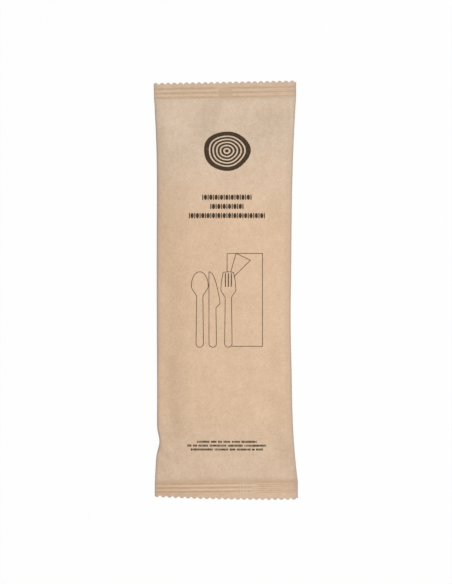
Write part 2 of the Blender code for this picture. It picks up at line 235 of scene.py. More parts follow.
ink = {
    "colour": (0.054, 0.034, 0.018),
    "thinColour": (0.135, 0.086, 0.048),  # where the rough paper takes less ink
    "roughness": 0.62,
}


def newMaterial(name):
    material = bpy.data.materials.new(name)
    material.use_nodes = True
    material.node_tree.nodes.clear()
    return material, Tree(material.node_tree)


def blendColour(tree, factor, first, second):
    def colour(value):
        return value if isinstance(value, Wire) else (*value, 1.0)
    return tree.node("ShaderNodeMix", {"data_type": "RGBA", "blend_type": "MIX"},
                     {0: factor, 6: colour(first), 7: colour(second)}, 2)


def fibreField(tree, place):  # fine fibres that lie mostly along the web, both ways from 0
    x, y, z = tree.split(place)
    field = None
    for turn, weight, seed in ((0.10, 1.0, 3.0), (-0.35, 0.7, 7.0), (0.75, 0.5, 11.0)):  # turns in radians
        along = y * math.cos(turn) + x * math.sin(turn)
        over = x * math.cos(turn) - y * math.sin(turn)
        strand = tree.noise(tree.vector(over * 2600.0, along * 330.0, z * 900.0), 1.0, 2.0, seed)
        field = strand * weight if field is None else field + strand * weight
    return field


def paperMaterial():
    material, tree = newMaterial("kraftPaper")
    place = tree.node("ShaderNodeTexCoord", out="Object")
    x, y, z = tree.split(place)
    fibres = fibreField(tree, place)

    # textures; the scales are waves per metre
    streaks = tree.noise(tree.vector(x * 700.0, y * 30.0, z * 200.0), 1.0, 2.0, 1.0)
    blotches = tree.noise(place, 95.0, 2.0, 5.0)
    clouds = tree.noise(place, 310.0, 2.0, 6.0, 0.6)
    mottle = tree.noise(place, 800.0, 3.0, 2.0, 0.7)
    grain = tree.noise(place, 1700.0, 1.0, 12.0)
    wear = tree.noise(tree.vector(x * 260.0, y * 900.0, z * 300.0), 1.0, 2.0, 8.0, 0.6)
    flecks = tree.noise(tree.vector(x * 1500.0, y * 900.0, z * 900.0), 1.0, 1.0, 9.0)
    sealed, crease, rib, edge, groove, handled = (tree.attribute(name) for name in (
        "sealed", "crease", "rib", "edge", "groove", "handled"))

    def cover(factor, under, name):
        return blendColour(tree, factor, under, paper[name])

    # the plain paper, with painted light and shade from the patches, greyer towards the ends
    shade = (0.5 + blotches * paper["blotches"] + clouds * paper["clouds"] + mottle * paper["mottle"]
             + grain * paper["grain"] + streaks * paper["streaks"] - fibres * paper["fibres"]
             + handled * paper["lightAndShadeStrength"])
    shade = tree.ramp(shade, 0.0, 1.0)
    tone = blendColour(tree, shade, paper["darkColour"], paper["paleColour"])
    tone = cover(tree.ramp(flecks, 0.25, 0.33) * paper["flecks"], tone, "fleckColour")
    haze = 0.0
    for way, (start, whole, strength) in ((1.0, paper["topHaze"]), (-1.0, paper["bottomHaze"])):
        haze = haze + tree.ramp(y * way, start, whole, True) * strength
    hazy = blendColour(tree, shade, paper["hazeDark"], paper["hazePale"])
    tone = blendColour(tree, haze * (1.0 + clouds * 1.6), tone, hazy)

    # the seals, with painted shade in their crimp lines and painted highlights between them
    atBottom = tree.ramp(-y, 0.0, 0.01)
    bottomLeftDarkening = tree.ramp(-x, 0.006, 0.034) * atBottom * paper["bottomLeftDarkening"]
    spared = tree.ramp(x, -0.004, 0.010) * tree.ramp(-y, 0.109, 0.111) * paper["spared"]
    tone = cover(sealed * (paper["seals"] + bottomLeftDarkening - spared), tone, "sealColour")
    tone = cover(sealed * tree.ramp(wear, 0.0, 0.25) * paper["paleWear"], tone, "paleColour")
    tone = cover(sealed * tree.ramp(-wear, 0.0, 0.25) * paper["darkWear"], tone, "pressedAndShadeColour")
    fineLines = mix(paper["topFineLines"], paper["bottomFineLines"], atBottom)
    lines = mix(paper["lines"], fineLines, tree.ramp(x, 0.010, 0.018))
    # painted shade in the bottom of each crimp line
    tone = cover(tree.ramp(-rib, 0.2, 1.0) * (lines - wear * 0.8), tone, "pressedAndShadeColour")
    # painted shade along the bottom seal line, and the dark patch where the fin lies behind the top seal
    tone = cover(groove * paper["lipShadeAndPatchStrength"], tone, "pressedAndShadeColour")
    # painted highlights on the crests between the crimp lines
    crestHighlights = mix(paper["crestHighlights"], paper["bottomCrestHighlights"], atBottom * tree.ramp(x, -0.032, -0.020))
    tone = cover(tree.ramp(rib, 0.3, 1.0) * crestHighlights, tone, "paleColour")

    # painted shade at the edges, and pale creases
    tone = cover(edge * paper["edges"], tone, "edgeShadeColour")
    tone = cover(tree.ramp(crease, 0.25, 1.0) * paper["creases"], tone, "paleColour")

    relief = fibres * 0.6 + mottle * 0.8
    bump = tree.node("ShaderNodeBump", None,
                     {"Strength": 1.0, "Distance": paper["fibreHeight"], "Height": relief})
    rough = paper["roughness"] + streaks * 0.12 - sealed * 0.12
    shader = tree.node("ShaderNodeBsdfPrincipled", None, {
        "Base Color": tone, "Roughness": rough, "Normal": bump, "Specular IOR Level": 0.32,
        "Sheen Weight": 0.08, "Sheen Roughness": 0.5})
    tree.node("ShaderNodeOutputMaterial", None, {"Surface": shader})
    return material


def inkMaterial():
    material, tree = newMaterial("brownInk")
    place = tree.node("ShaderNodeTexCoord", out="Object")
    fibres = fibreField(tree, place)
    mottle = tree.noise(place, 1400.0, 2.0, 4.0)
    tone = blendColour(tree, tree.ramp(fibres + mottle * 1.5, 0.05, 0.55), ink["colour"], ink["thinColour"])
    bump = tree.node("ShaderNodeBump", None,
                     {"Strength": 1.0, "Distance": paper["fibreHeight"], "Height": fibres * 0.6})
    shader = tree.node("ShaderNodeBsdfPrincipled", None, {
        "Base Color": tone, "Roughness": ink["roughness"] + mottle * 0.2, "Normal": bump,
        "Specular IOR Level": 0.1})
    tree.node("ShaderNodeOutputMaterial", None, {"Surface": shader})
    return material


kraftPaper = paperMaterial()
brownInk = inkMaterial()
print("finishes made")


# the sleeve: one sheet of paper as a filled tube with crimped, toothed ends

endShift = 0.0005  # the top seal sits this far left of the middle, the bottom one right
cutSlant = 0.018  # the cut edges lean against each other by this much per metre across
sleeve = {
    "Flat Width": packHigh.x - packLow.x - 2 * endShift,
    "Length": packHigh.y - packLow.y - cutSlant * (packHigh.x - packLow.x),
    "Bottom Bow": 0.0007,  # how far the bottom cut edge bulges
    "Height": packHigh.z - packLow.z,
    "Side Level": 0.0043,  # above the floor: the side folds, the underside and the seals
    "Belly Level": 0.0003,
    "Seal Level": 0.0032,
    "Seal Thickness": 0.00030,
    "Paper Thickness": 0.00006,
    "Left Draw-in": 0.0016,  # how far the filled part's sides lie inside the seals'
    "Right Draw-in": 0.0031,
    "Crown Power": 4.2,  # higher is flatter across, with rounder sides
    "Left Slack": 0.42,
    "Shoulder": 0.0007,  # the step down to each seal
    "Top Seal": 0.0088,
    "Bottom Seal": 0.0094,
    "Top Taper": 0.108,  # how far from the seal line the pack is whole
    "Bottom Taper": 0.060,
    "Tooth Depth": 0.0012,
    "Rib Pitch": 0.00223,
    "Top Rib Pitch": 0.00255,
    "Rib Depth": 0.00020,
    "Swell": 0.0021,  # wrinkles: broad ones, those that fan out from the seals, those in the sides
    "Gathers": 0.0030,
    "Buckles": 0.0016,
    "Curl": 0.0022,  # of the cut ends
    "Seed": 4.0,
    "teeth": 23,
    "stepsPerTooth": 6,
    "firstTooth": 0.15,  # where in a tooth the left side cuts, as a share of a tooth
    "toothRows": 0.30,  # share of a seal's rows that bend with the teeth
    "sealRows": 48,  # rows of faces along each seal and the part between
    "bodyRows": 228,
    "topSealSlant": 0.017,  # rise of the seal lines per metre across
    "bottomSealSlant": 0.010,
    "bellyTaper": 0.030,  # over this length the underside rises to the seals
    "bellyFlatShare": 0.80,  # of its width
    "plainStrip": 0.0028,  # from the tips of the teeth to the last rib
    "fineFrom": (0.013, 0.022),  # x where fine ribs start; in this and the next five, bottom seal then top
    "fineWhole": (0.019, 0.030),
    "fineShare": (1.0, 0.7),
    "smearShift": (0.0027, 0.0022),  # where the fin blurs the ribs: from its middle, half width, strength
    "smearReach": (0.0026, 0.0036),
    "smearShare": (0.30, 0.50),
    "pleatPitch": 0.0017,  # small upright pleats there, at the bottom
    "patchShift": 0.0030,  # the dark patch there, at the top
    "patchReach": 0.0040,
    "edgeWear": (0.12, 0.36),  # painted shade on the left and the right rim, inside the darker edge itself
    "tipWear": 0.75,  # painted shade on the teeth
}
edgeDents = (  # side, y, spread along the edge and depth
    (-1, -0.0854, 0.0056, 0.0016),  # a pinch above the bottom seal
    (-1, 0.0790, 0.0400, 0.0009),
    (1, -0.0170, 0.0250, 0.0006),
)
folds = (  # start x and y, direction in degrees, length, width and depth; a negative depth is a ridge
    (-0.0390, -0.0850, 18.0, 0.026, 0.0026, 0.0013),  # from the dent in the left side
    (-0.0400, -0.0890, -40.0, 0.016, 0.0022, 0.0008),
    (-0.0335, -0.0380, -86.0, 0.030, 0.0040, 0.0012),
    (-0.0350, -0.0600, -78.0, 0.038, 0.0052, 0.0011),
    (-0.0330, 0.0060, -88.0, 0.050, 0.0040, 0.0006),
    (-0.0190, 0.1080, -76.0, 0.046, 0.0090, 0.0022),  # below the top seal
    (-0.0020, 0.1080, -94.0, 0.020, 0.0034, -0.0008),
    (0.0150, 0.1050, -112.0, 0.022, 0.0022, -0.0008),
    (0.0150, 0.1060, -92.0, 0.044, 0.0095, 0.0017),
    (0.0350, 0.1020, -88.0, 0.030, 0.0036, -0.0008),
    (0.0245, 0.0580, -88.0, 0.026, 0.0050, 0.0010),  # down the right side
    (0.0235, -0.0270, -90.0, 0.020, 0.0040, 0.0009),
    (0.0260, -0.0590, -86.0, 0.028, 0.0060, 0.0014),
    (0.0300, -0.0840, -84.0, 0.015, 0.0050, 0.0012),
)
lightAndShadePatches = (  # painted light and shade: x, y, spread across and along, strength: painted light here, or painted shade below 0
    (-0.0310, 0.0950, 0.0080, 0.0130, 0.5),
    (-0.0080, 0.0900, 0.0050, 0.0120, -0.2),
    (0.0000, 0.0620, 0.0300, 0.0300, 0.3),
    (0.0396, -0.1040, 0.0018, 0.0050, -1.3),
    (-0.0365, 0.0880, 0.0024, 0.0090, -0.7),
    (0.0374, 0.0990, 0.0009, 0.0130, 1.0),
    (-0.0330, -0.0980, 0.0070, 0.0060, -0.2),
    (0.0020, -0.0985, 0.0160, 0.0040, 0.3),
    (-0.0350, 0.0500, 0.0070, 0.0320, -0.4),
    (0.0265, 0.0890, 0.0110, 0.0110, -0.3),
    (0.0290, 0.0450, 0.0050, 0.0120, -0.5),
    (0.0280, -0.0380, 0.0040, 0.0100, -0.4),
    (0.0315, -0.0720, 0.0060, 0.0110, -0.6),
    (0.0345, -0.0920, 0.0060, 0.0080, -0.7),
)
fin = {  # the long seam of the tube; the sleeve reads its place, because it shows through the seals
    "Width": 0.0110,
    "Thickness": 0.00028,
    "Bottom X": 0.0077,  # its middle at each end: it runs a little askew
    "Top X": -0.0033,
    "Line Pitch": 0.0018,  # the sealing wheels' lines along it
    "Line Depth": 0.00004,
    "End Gap": 0.0017,  # from the tips of the teeth
    "columns": 40,
    "rows": 420,
    "pressed": 0.7,  # how much of the seals' finish it has
}


def wrinkles(tree, size, x, y, w, near, across, full):  # height of the loose paper's folds, and its creases
    seed = size["Seed"] + w * 3.0  # the front and the back differ
    sheet = tree.vector(x, y, w * 0.05)
    swell = tree.noise(sheet, 34.0, 1.0, seed) + tree.noise(sheet, 85.0, 1.0, seed + 20.0) * 0.22
    fan = tree.vector(x * (100.0 - near * 450.0), y * 12.0, w)  # spreads out from the seals
    gathered = abs(tree.noise(fan, 1.0, 1.0, seed))
    gathers = -gathered * size["Gathers"] * tree.mathNode("EXPONENT", near * -55.0)
    gathers = gathers * tree.ramp(near, 0.0, 0.006)
    crossways = tree.vector(x * 22.0, y * 75.0, w)
    buckles = -abs(tree.noise(crossways, 1.0, 2.0, seed + 5.0)) * size["Buckles"]
    buckles = buckles * abs(across) ** 4.0 * full
    height = swell * size["Swell"] * tree.ramp(near, 0.0, 0.02) + gathers + buckles
    for startX, startY, degrees, reach, width, depth in folds:
        turn = math.radians(degrees)
        dx, dy = x - startX, y - startY
        along = dx * math.cos(turn) + dy * math.sin(turn)
        beside = dy * math.cos(turn) - dx * math.sin(turn)
        valley = tree.mathNode("EXPONENT", -((beside / width) ** 2.0))
        fade = tree.ramp(along, reach, 0.0, True) * tree.ramp(along, -0.003, 0.007, True)
        height = height - valley * fade * depth * (w * 0.5 + 0.5)
    return height, tree.ramp(gathered, 0.012, 0.0) * tree.mathNode("EXPONENT", near * -80.0)


def crimp(tree, size, x, y, past):  # ribs of the seals, and painted shade along the bottom seal line with the dark patch at the top; past: how far past the seal line
    onTop = tree.mathNode("GREATER_THAN", y, 0.0)

    def atEnd(name):
        return mix(*sleeve[name], onTop)

    # ribs, twice as fine towards the right
    pitch = mix(size["Rib Pitch"], size["Top Rib Pitch"], onTop)
    turns = (past - onTop * 0.0003) / pitch * (2.0 * math.pi)
    coarse = tree.mathNode("COSINE", turns + onTop * math.pi)  # the top seal starts with a valley
    fine = tree.mathNode("COSINE", turns * 2.0 + onTop * math.pi)
    share = tree.ramp(x, atEnd("fineFrom"), atEnd("fineWhole"), True) * atEnd("fineShare")
    end = mix(size["Bottom Seal"], size["Top Seal"], onTop) - sleeve["plainStrip"]
    onRibs = tree.ramp(past + onTop * 0.0008, 0.0, 0.0003) * tree.ramp(past, end + 0.0002, end - 0.0002)

    # the fin behind them blurs them, with pleats at the bottom and a dark patch at the top
    finMiddle = mix(fin["Bottom X"], fin["Top X"], y / size["Length"] + 0.5)
    offSmear = x - finMiddle - atEnd("smearShift")
    smear = tree.ramp(abs(offSmear) - atEnd("smearReach"), 0.0014, 0.0)
    pleats = tree.mathNode("COSINE", offSmear * (2.0 * math.pi / sleeve["pleatPitch"]))
    pleats = pleats * (1.0 - onTop) * smear
    ribs = (mix(coarse, fine, share) * (1.0 - smear * atEnd("smearShare")) + pleats * 0.5) * onRibs
    offPatch = abs(x - finMiddle - sleeve["patchShift"]) - sleeve["patchReach"]
    patch = tree.ramp(offPatch, 0.0004, -0.0004) * onTop
    patch = patch * tree.ramp(past, -0.0006, 0.0002) * tree.ramp(past, 0.0064, 0.0036)
    lip = tree.ramp(abs(past + 0.0002), 0.0011, 0.0002) * (1.0 - onTop)  # painted shade along the bottom seal line
    return ribs, (patch * 0.75).math("MAXIMUM", lip)


def sleeveTree():
    tree = geometryTree("wrappedSleeve")
    size = tree.inputs(sleeve)
    material = tree.input("Paper", None, "NodeSocketMaterial")
    rows = 2 * sleeve["sealRows"] + sleeve["bodyRows"]
    columns = sleeve["teeth"] * sleeve["stepsPerTooth"]
    block = tree.node("GeometryNodeMeshCube", None, {
        "Size": (2.0, 2.0, 2.0), "Vertices X": columns + 1, "Vertices Y": rows + 1, "Vertices Z": 2}, "Mesh")
    u, v, w = tree.split(tree.node("GeometryNodeInputPosition"))
    half = size["Length"] * 0.5
    flatX = u * size["Flat Width"] * 0.5

    # rows: tooth tips, seal line, body, seal line, tooth tips
    tipTop = half + flatX * cutSlant
    tipBottom = -half - flatX * cutSlant - (1.0 - u * u) * size["Bottom Bow"]
    sealTop = half - size["Top Seal"] + flatX * sleeve["topSealSlant"]
    sealBottom = size["Bottom Seal"] - half + flatX * sleeve["bottomSealSlant"]
    row = v * 0.5 + 0.5
    rowShare = sleeve["sealRows"] / rows
    inBottom = tree.ramp(row, 0.0, rowShare)
    inBody = tree.ramp(row, rowShare, 1.0 - rowShare)
    inTop = tree.ramp(row, 1.0 - rowShare, 1.0)
    y = (tipBottom + (sealBottom - tipBottom) * inBottom + (sealTop - sealBottom) * inBody
         + (tipTop - sealTop) * inTop)
    phase = tree.mathNode("FRACT", (u * 0.5 + 0.5) * sleeve["teeth"] + sleeve["firstTooth"])
    notch = abs(phase * 2.0 - 1.0) ** 1.5 * size["Tooth Depth"]
    bent = sleeve["toothRows"]
    y = y + notch * (tree.ramp(inBottom, bent, 0.0) - tree.ramp(inTop, 1.0 - bent, 1.0))

    # fullness: 0 at both seal lines, 1 where the pack is thickest
    fromTop = sealTop - y
    fromBottom = y - sealBottom
    full = ((1.0 - (1.0 - tree.ramp(fromTop, 0.0, size["Top Taper"])) ** 2.5)
            * (1.0 - (1.0 - tree.ramp(fromBottom, 0.0, size["Bottom Taper"])) ** 2.5))

    # columns crowd together at the rounded sides of the filled part
    crowd = tree.ramp(full, 0.0, 0.5)
    across = mix(u, tree.mathNode("SINE", u * (math.pi / 2)), crowd * 0.9)
    halves = {-1: size["Flat Width"] * 0.5 - size["Left Draw-in"] * full,
              1: size["Flat Width"] * 0.5 - size["Right Draw-in"] * full}
    for edgeSide, place, spread, depth in edgeDents:
        away = (y - place) / spread
        halves[edgeSide] = halves[edgeSide] - tree.mathNode("EXPONENT", -(away * away)) * depth
    onRight = tree.mathNode("GREATER_THAN", across, 0.0)
    centre = y / half * -endShift
    x = centre + across * mix(halves[-1], halves[1], onRight)

    # heights; the filling lies to the right, so the left flank is slack
    near = fromTop.math("MINIMUM", fromBottom)  # distance from the nearer seal line, below 0 in a seal
    inSeal = tree.ramp(near, 0.0004, -0.0004)
    side = mix(size["Seal Level"], size["Side Level"], full)
    crown = mix(size["Seal Level"], size["Height"], full)
    dome = (1.0 - abs(across) ** size["Crown Power"]).math("MAXIMUM", 0.0) ** 0.5
    dome = dome * (1.0 - tree.ramp(across, -0.48, -0.94, True) * full ** 2.0 * size["Left Slack"])
    front = mix(side, crown, dome)
    front = front + size["Shoulder"] * tree.ramp(near, 0.0, 0.0025, True) * (1.0 - full) * dome
    lift = (1.0 - tree.ramp(near, 0.0, sleeve["bellyTaper"])) ** 2.0
    belly = mix(size["Belly Level"], size["Seal Level"], lift)
    bend = tree.ramp(abs(across), sleeve["bellyFlatShare"], 1.0)
    back = mix(side, belly, (1.0 - bend * bend).math("MAXIMUM", 0.0) ** 0.5)

    # the loose tabs are not quite flat
    outward = tree.ramp(near, 0.002, -0.0085)
    wave = tree.noise(tree.vector(x * 26.0, y * 4.0, 0.0), 1.0, 1.0, size["Seed"] + 9.0)
    curl = outward * (wave * size["Curl"] + 0.0003)

    # both faces, with wrinkles mostly in the front
    soft, crease = wrinkles(tree, size, x, y, w, near, across, full)
    ribs, groove = crimp(tree, size, x, y, -near)
    facing = w * 0.5 + 0.5
    ply = mix(size["Seal Thickness"], size["Paper Thickness"], tree.ramp(full, 0.0, 0.08)) * 0.5
    z = mix(back, front, facing) + w * ply + ribs * size["Rib Depth"] + curl
    z = z + soft * mix(0.25, 1.0, facing)

    # painted shade at the edges and on the teeth, with some wear; painted light and shade in patches
    # painted shade on the rims and the teeth, with some wear at the very edge
    rim = tree.ramp(abs(across), 0.84, 0.97, True) * mix(*sleeve["edgeWear"], onRight)
    edge = tree.ramp(abs(across), 0.955, 0.988).math("MAXIMUM", rim)
    tips = tree.ramp(inTop, 0.91, 1.0) + tree.ramp(inBottom, 0.09, 0.0)
    edge = edge.math("MAXIMUM", tips * sleeve["tipWear"])
    # painted light and shade, in patches
    handled = 0.0
    for patchX, patchY, spreadX, spreadY, strength in lightAndShadePatches:
        offX, offY = (x - patchX) / spreadX, (y - patchY) / spreadY
        handled = handled + tree.mathNode("EXPONENT", -(offX * offX + offY * offY)) * strength

    fields = {"sealed": inSeal, "crease": crease * (1.0 - inSeal), "rib": ribs, "edge": edge,
              "groove": groove, "handled": handled}
    tree.finishGeometry(tree.shapePaper(block, fields, tree.vector(x, y, z)), material)
    return tree


paperSleeve = newObject("paper_sleeve", bpy.data.meshes.new("paper_sleeve"))
paperSleeve = applyTree(paperSleeve, sleeveTree(), {**sleeve, "Paper": kraftPaper})
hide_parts("cutlery_pack")
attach(paperSleeve, "root")
print("sleeve made:", len(paperSleeve.data.polygons), "faces")


# the fin, folded flat against the back

def paperHeight(tree, paperObject, x, y, side):  # the sleeve's front where side is 1, its back where it is -1
    target = tree.node("GeometryNodeObjectInfo", None, {"Object": paperObject}, "Geometry")
    hit = tree.node("GeometryNodeRaycast", None, {
        "Target Geometry": target, "Source Position": tree.vector(x, y, 0.1 * side),
        "Ray Direction": (0.0, 0.0, -side), "Ray Length": 0.2}, "Hit Position")
    return tree.split(hit)[2]


def backFinTree():
    tree = geometryTree("backFin")
    size = tree.inputs(fin)
    length = tree.input("Length", sleeve["Length"])
    paperObject = tree.input("Paper Surface", None, "NodeSocketObject")
    material = tree.input("Paper", None, "NodeSocketMaterial")
    block = tree.node("GeometryNodeMeshCube", None, {
        "Size": (2.0, 2.0, 2.0), "Vertices X": fin["columns"] + 1, "Vertices Y": fin["rows"] + 1,
        "Vertices Z": 2}, "Mesh")
    u, v, w = tree.split(tree.node("GeometryNodeInputPosition"))
    offMiddle = u * size["Width"] * 0.5
    x = mix(size["Bottom X"], size["Top X"], v * 0.5 + 0.5) + offMiddle
    y = v * (length * 0.5 - size["End Gap"]) + abs(v) * v * x * cutSlant
    line = tree.mathNode("COSINE", offMiddle / size["Line Pitch"] * (2.0 * math.pi))
    line = line * tree.ramp(abs(u), 0.92, 0.80)  # none along its edges
    outer = -size["Thickness"] - line * size["Line Depth"]
    under = paperHeight(tree, paperObject, x, y, -1.0)
    z = under + mix(outer, -0.00001, w * 0.5 + 0.5)
    z = z.math("MAXIMUM", 0.00002)  # just clear of the floor
    # painted shade and highlights in its sealing lines, and painted shade along its edges
    fields = {"sealed": fin["pressed"], "rib": -line * 0.6, "edge": tree.ramp(abs(u), 0.93, 1.0) * 0.7}
    tree.finishGeometry(tree.shapePaper(block, fields, tree.vector(x, y, z)), material)
    return tree


bpy.context.view_layer.update()
backFin = newObject("back_fin", bpy.data.meshes.new("back_fin"))
backFin = applyTree(backFin, backFinTree(), {**fin, "Paper Surface": paperSleeve, "Paper": kraftPaper})
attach(backFin, "root")
print("fin made:", len(backFin.data.polygons), "faces")


# the print: thin fills of ink, dropped straight down onto the sleeve

printing = {
    "middle": 0.0008,  # x of the print's centre line
    "outlineStep": 0.0007,  # longest piece of an outline, so that it follows the paper
    "lineWidth": 0.00034,
    "Ink Lift": 0.00002,
    "Ink Thickness": 0.00004,
}
topSealLine = sleeve["Length"] / 2 - sleeve["Top Seal"]
bottomSealLine = sleeve["Bottom Seal"] - sleeve["Length"] / 2


def inkInputs(tree):  # the inputs that every tree of the print has
    paperObject = tree.input("Paper Surface", None, "NodeSocketObject")
    return paperObject, tree.inputs(printing), tree.input("Ink", None, "NodeSocketMaterial")


def layInk(tree, outlines, shapeNumber, paperObject, size):
    filled = tree.node("GeometryNodeFillCurve", None, {"Curve": outlines, "Group ID": shapeNumber})
    flat = tree.node("GeometryNodeSubdivideMesh", None, {"Mesh": filled, "Level": 1})
    x, y = tree.split(tree.node("GeometryNodeInputPosition"))[:2]
    z = paperHeight(tree, paperObject, x, y, 1.0) + size["Ink Lift"]
    laid = tree.node("GeometryNodeSetPosition", None, {"Geometry": flat, "Position": tree.vector(x, y, z)})
    under = tree.node("GeometryNodeFlipFaces", None, {"Mesh": laid})
    over = tree.node("GeometryNodeExtrudeMesh", None, {
        "Mesh": laid, "Offset": (0.0, 0.0, 1.0), "Offset Scale": size["Ink Thickness"], "Individual": False})
    closed = tree.node("GeometryNodeJoinGeometry", None, {"Geometry": [under, over]})
    return tree.node("GeometryNodeMergeByDistance", None, {"Geometry": closed, "Distance": 0.000001})


def placeInk(obj, tree, values):
    bpy.context.view_layer.update()
    inkPiece = applyTree(obj, tree, {**printing, **values, "Paper Surface": paperSleeve, "Ink": brownInk})
    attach(inkPiece, "root")
    print(inkPiece.name, "printed:", len(inkPiece.data.polygons), "faces")


def outlineTree():
    tree = geometryTree("printedOutlines")
    outlines = tree.input("Outlines", None, "NodeSocketGeometry")
    paperObject, size, material = inkInputs(tree)
    curves = tree.node("GeometryNodeMeshToCurve", None, {"Mesh": outlines})
    shapeNumber = tree.node("GeometryNodeInputNamedAttribute", {"data_type": "INT"}, {"Name": "shape"})
    tree.finishGeometry(layInk(tree, curves, shapeNumber, paperObject, size), material)
    return tree


def printShapes(name, shapes):  # shapes: lists of closed loops, inked where an odd number overlap
    points, edges, numbers = [], [], []
    for number, loops in enumerate(shapes):
        for loop in loops:
            first = len(points)
            for start, end in zip(loop, loop[1:] + loop[:1]):
                start, end = Vector(start), Vector(end)
                pieces = max(math.ceil((end - start).length / printing["outlineStep"]), 1)
                points += [tuple(start.lerp(end, i / pieces)) + (0.0,) for i in range(pieces)]
            count = len(points) - first
            edges += [(first + i, first + (i + 1) % count) for i in range(count)]
            numbers += [number] * count
    mesh = bpy.data.meshes.new(name)
    mesh.from_pydata(points, edges, [])
    mesh.attributes.new("shape", "INT", "POINT").data.foreach_set("value", numbers)
    placeInk(newObject(name, mesh), outlineTree(), {})


def shiftedPath(path, reach, closed):  # a path moved sideways, with mitred corners
    points = [Vector(point) for point in path]
    runs = [(b - a).normalized() for a, b in zip(points, points[1:] + points[:1])]
    if not closed:
        runs[-1] = runs[-2]
    shifted = []
    for i, point in enumerate(points):
        after = runs[i]
        before = after if i == 0 and not closed else runs[i - 1]
        normal = Vector((before.y + after.y, -before.x - after.x)).normalized()
        miter = reach / max(normal.dot(Vector((after.y, -after.x))), 0.5)
        shifted.append(tuple(point + normal * miter))
    return shifted


def stroke(path, closed=True):  # two loops along a closed path, one loop round an open one
    outer, inner = (shiftedPath(path, side * printing["lineWidth"] / 2, closed) for side in (1, -1))
    return [outer, inner] if closed else [outer + inner[::-1]]


# a sawn log near the top: bark, growth rings and pith

log = {
    "width": 0.0262,
    "height": 0.0222,
    "fromSeal": 0.0305,
    "bark": 0.0023,
    "rings": 4,
    "ring": 0.0010,
    "points": 110,  # round the bark; a smaller ring has fewer
    "bulges": ((3.0, 0.6, 0.02), (5.0, math.pi / 2, 0.012)),  # how many, their turn and their height
}


def logRing(radius):
    share = radius / log["height"] * 2
    count = max(16, round(log["points"] * share))
    loop = []
    for i in range(count):
        angle = 2.0 * math.pi * i / count
        bulge = sum(height * math.sin(many * angle + turn) for many, turn, height in log["bulges"])
        reach = radius * (1.0 + bulge)
        x = printing["middle"] + reach * log["width"] / log["height"] * math.cos(angle)
        loop.append((x, topSealLine - log["fromSeal"] + reach * math.sin(angle)))
    return loop


def sawnLog():
    outer = log["height"] / 2
    inner = outer - log["bark"]
    pitch = inner / (log["rings"] + 1)
    radii = [outer, inner]
    for ring in range(1, log["rings"] + 1):
        radii += [inner - ring * pitch + log["ring"], inner - ring * pitch]
    return [[logRing(radius) for radius in radii + [pitch / 2]]]


printShapes("ink_log", sawnLog())


# three rows of beads and bars under the log

beadRows = {
    "fromSeal": 0.0566,
    "Row Pitch": 0.00515,
    "Unit": 0.0030,  # one bead and one bar
    "Bar": 0.0006,
    "Bead Gap": 0.0003,  # from a bead to the bars beside it
    "Row Height": 0.0030,
    "Row 1 Beads": 9,
    "Row 2 Beads": 6,
    "Row 3 Beads": 14,
}


def beadRowsTree():
    tree = geometryTree("beadRows")
    paperObject, inkSize, material = inkInputs(tree)
    middleX = tree.input("Middle X", 0.0)
    firstY = tree.input("First Y", 0.0)
    size = tree.inputs(beadRows)
    unit, bar, height = size["Unit"], size["Bar"], size["Row Height"]
    barCurve = tree.node("GeometryNodeCurvePrimitiveQuadrilateral", {"mode": "RECTANGLE"},
                         {"Width": bar, "Height": height})
    circle = tree.node("GeometryNodeCurvePrimitiveCircle", None, {"Resolution": 16, "Radius": 0.5})
    beadCurve = tree.node("GeometryNodeTransform", None, {
        "Geometry": circle, "Scale": tree.vector(unit - bar - size["Bead Gap"] * 2.0, height, 1.0)})
    stamps = []
    for row in range(3):
        beads = size[f"Row {row + 1} Beads"]
        y = firstY - size["Row Pitch"] * row
        for curve, extra in ((barCurve, 1), (beadCurve, 0)):  # a row has one bar more than beads
            start = middleX - unit * 0.5 * (beads - 1.0 + extra)
            line = tree.node("GeometryNodeMeshLine", None, {
                "Count": beads + extra, "Start Location": tree.vector(start, y),
                "Offset": tree.vector(unit, 0.0)})
            stamps.append(tree.node("GeometryNodeInstanceOnPoints", None, {
                "Points": line, "Instance": curve}))
    joined = tree.node("GeometryNodeJoinGeometry", None, {"Geometry": stamps})
    curves = tree.node("GeometryNodeRealizeInstances", None, {"Geometry": joined})
    fine = tree.node("GeometryNodeSubdivideCurve", None, {"Curve": curves, "Cuts": 3})
    tree.finishGeometry(layInk(tree, fine, 0, paperObject, inkSize), material)
    return tree


placeInk(newObject("ink_bead_rows", bpy.data.meshes.new("ink_bead_rows")), beadRowsTree(), {
    **beadRows, "Middle X": printing["middle"], "First Y": topSealLine - beadRows["fromSeal"]})


# a line drawing of what the pack holds

cutlery = {
    "foot": -0.0320,  # y of the handles' round ends
    "gap": 0.0004,
    "length": 0.0422,
    "spoon": 0.0095,
    "knife": 0.0063,
    "fork": 0.0083,
    "handle": 0.0042,
    "neck": 0.75,  # width at the head's end, as a share of the handle's
    "bowlWidest": 0.19,  # shares of the length: how far from the tip the bowl and the fork's head are widest,
    "bowlNeck": 0.15,  # and over what length each narrows to the handle
    "headWidest": 0.24,
    "headNeck": 0.11,
    "tips": 0.68,  # width across the tines' tips, as a share of the head's
    "blade": 0.42,
    "bladeCurve": 0.45,  # a power: the smaller, the rounder the blade's tip
    "slot": 0.18,
    "slotWidth": 0.00055,
    "slotFromTip": 0.0008,
}
napkin = {
    "width": 0.0198,
    "length": 0.0525,
    "underFork": 0.0007,  # it starts this far left of the fork's middle
    "foldAt": 0.0050,  # the turned corner: along the top, then its tip across and down
    "foldReach": 0.0080,
    "foldDrop": 0.0038,
    "meetsFork": 0.06,  # where the fold goes behind the fork, as a share of the cutlery's length
}


def clamp(value):
    return min(max(value, 0.0), 1.0)


